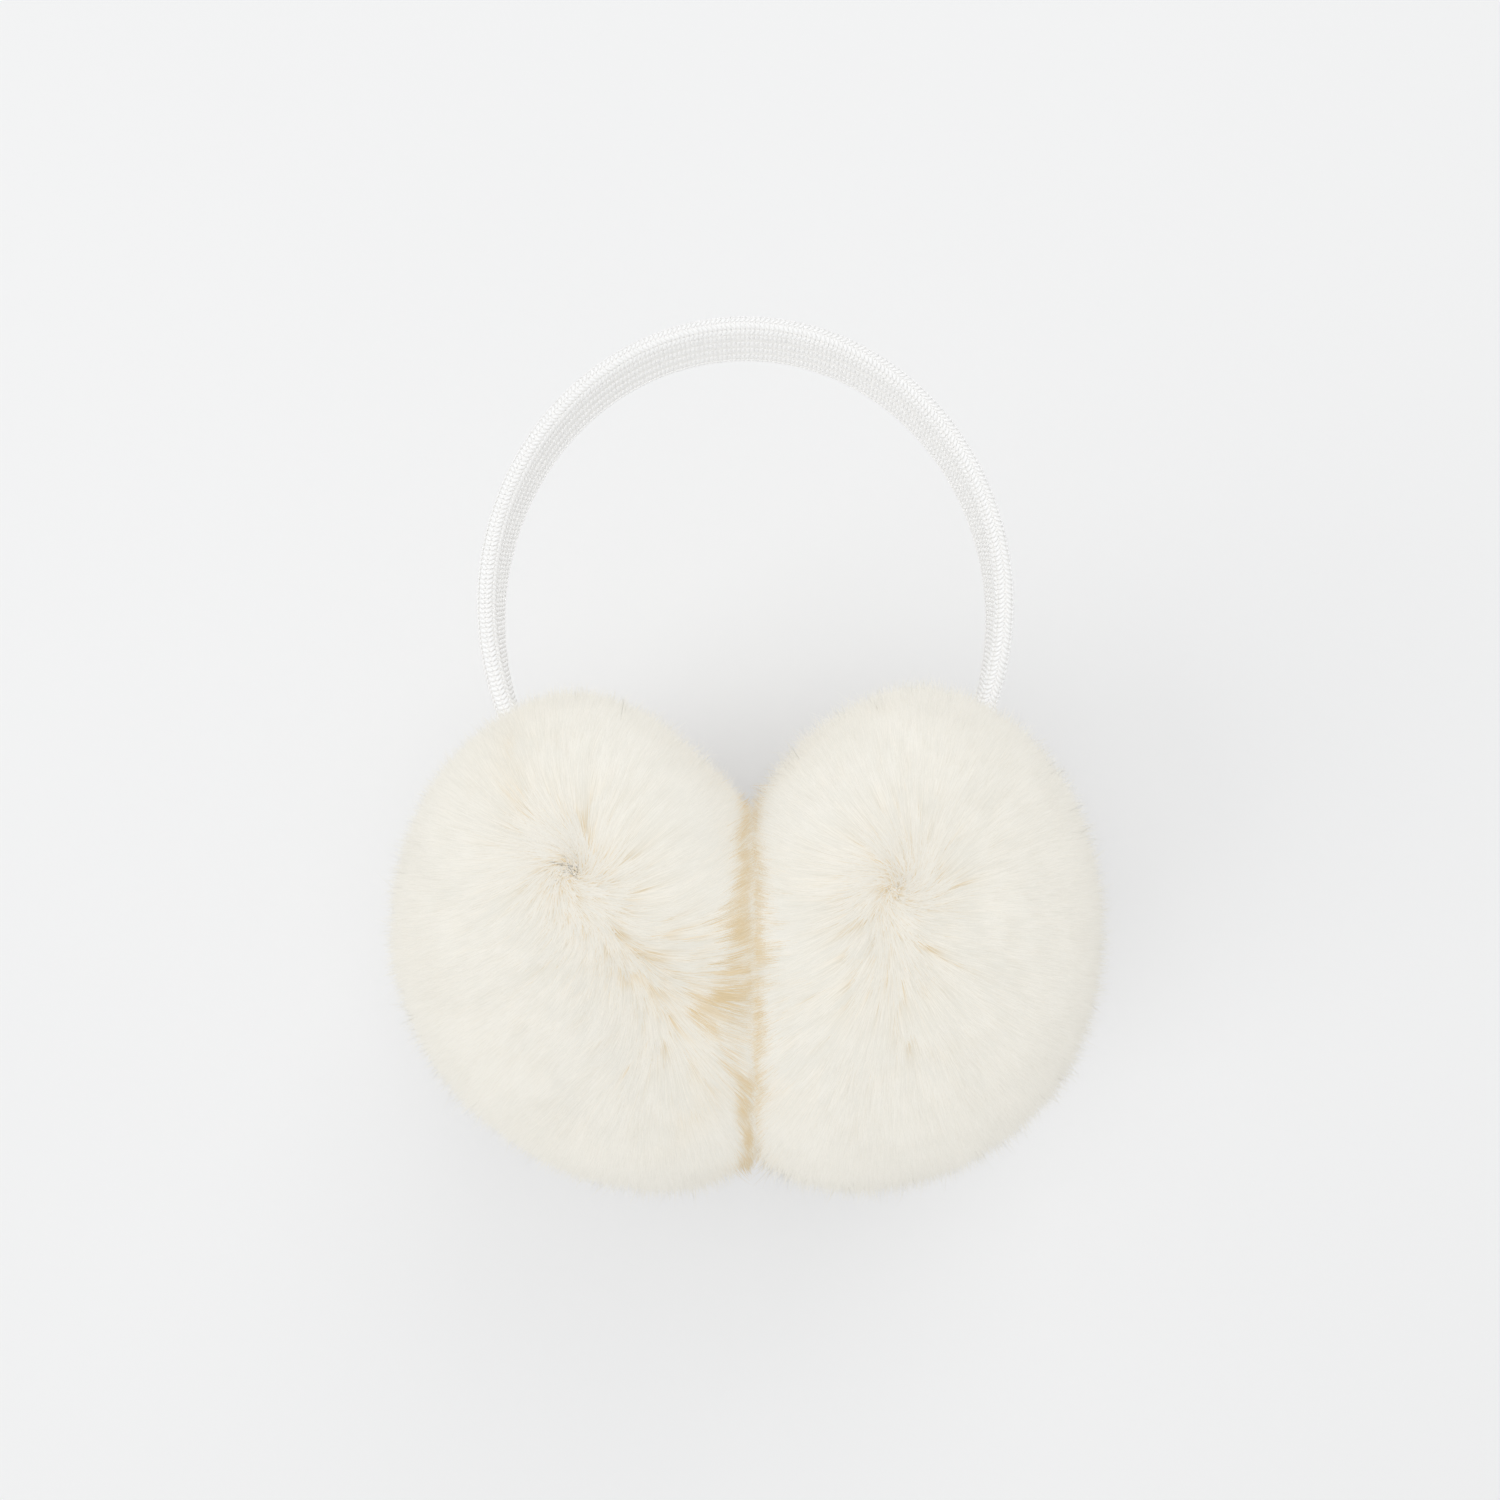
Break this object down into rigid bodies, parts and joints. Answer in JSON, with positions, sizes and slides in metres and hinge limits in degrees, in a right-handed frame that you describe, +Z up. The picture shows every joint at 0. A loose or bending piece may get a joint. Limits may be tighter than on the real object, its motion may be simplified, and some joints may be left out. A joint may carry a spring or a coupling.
{
  "type": "fur earmuffs",
  "caption": "Cream fur earmuffs lying on a table: two deep-pile ear pads pressed face to face on a white knitted headband.",
  "frame": {"origin": "bottom centre of the whole, on the table", "axes": "+Y towards the top of the headband, +Z up, +X to the right pad as seen from above"},
  "size_m": [0.1744, 0.2224, 0.1148],
  "materials": {
    "fur": "deep, soft pile, cream at the root and nearly white at the tip",
    "knit": "braided yarn tube, matt white",
    "pin": "plain white plastic"
  },
  "bodies": {
    "root": {"headband": "knit", "fur_pad_left": "fur", "fur_pad_right": "fur", "pad_pin_left": "pin", "pad_pin_right": "pin"}
  },
  "joints": []
}
